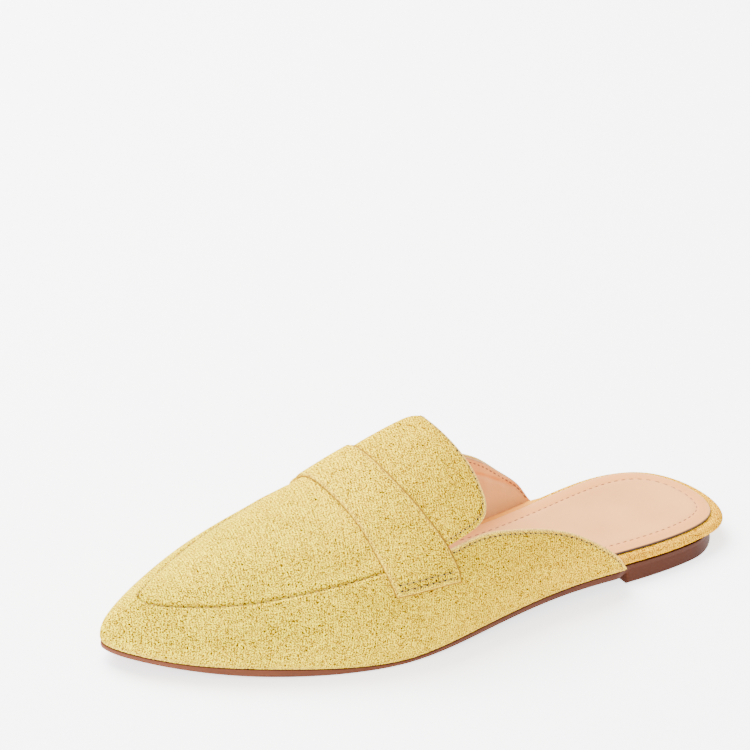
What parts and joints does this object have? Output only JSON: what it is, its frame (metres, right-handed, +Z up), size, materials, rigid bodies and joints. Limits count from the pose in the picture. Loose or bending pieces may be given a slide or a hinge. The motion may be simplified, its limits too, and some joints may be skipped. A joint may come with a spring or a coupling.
{
  "type": "pointed flat mule shoe",
  "caption": "Left pointed flat mule with a hollow suede upper, apron seam, saddle strap, standing tongue, open back and a low heel moulded with the sole.",
  "frame": {"origin": "on the ground, below the middle of the shoe's bounding box", "axes": "+Y from toe to heel along the shoe, +X towards the outer side of the foot, +Z up"},
  "size_m": [0.0814, 0.261, 0.0617],
  "materials": {
    "suede": "matt warm yellow microsuede with a fine speckled nap",
    "insole_leather": "smooth beige-pink insole leather with a soft sheen",
    "sole_rubber": "smooth satin brown moulded rubber"
  },
  "bodies": {
    "root": {"outsole": "sole_rubber", "footbed": "suede", "insole": "insole_leather", "upper": "suede", "tongue": "suede", "strap": "suede"}
  },
  "joints": []
}
